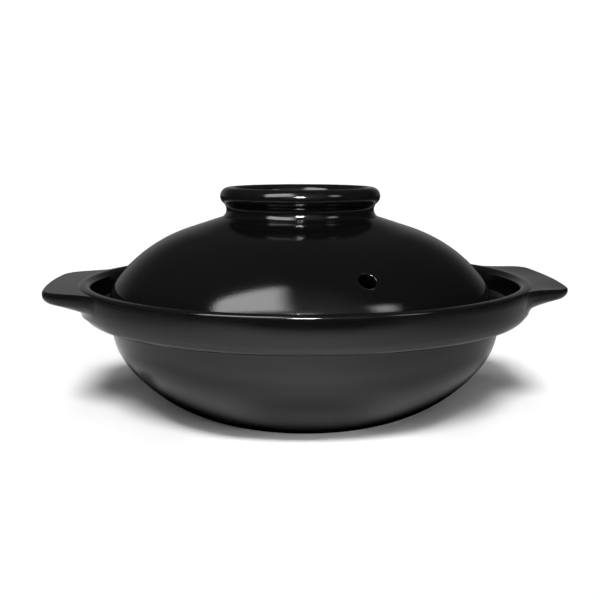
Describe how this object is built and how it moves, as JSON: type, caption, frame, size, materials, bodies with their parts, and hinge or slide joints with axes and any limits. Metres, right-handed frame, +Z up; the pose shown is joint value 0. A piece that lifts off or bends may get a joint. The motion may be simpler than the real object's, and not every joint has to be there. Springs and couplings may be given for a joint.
{
  "type": "donabe clay pot",
  "caption": "Round glazed clay cooking pot with lug handles and a domed lid with a steam hole and ring knob, for simmering on a stove and serving.",
  "frame": {"origin": "centre of the flat foot, at the level the pot stands on, midway between the handle tips", "axes": "+Z up along the bowl's axis, +X through the right handle, +Y towards the back"},
  "size_m": [0.3132, 0.2754, 0.1398],
  "materials": {
    "black_glaze": "satin"
  },
  "bodies": {
    "pot": {"pot_bowl": "black_glaze", "left_handle": "black_glaze", "right_handle": "black_glaze"},
    "lid": {"lid_dome": "black_glaze", "lid_knob_ring": "black_glaze"}
  },
  "joints": [
    {"name": "lid_lift", "type": "slide", "parent": "pot", "child": "lid", "axis": [0, 0, 1], "range_m": [0, 0.16]}
  ]
}
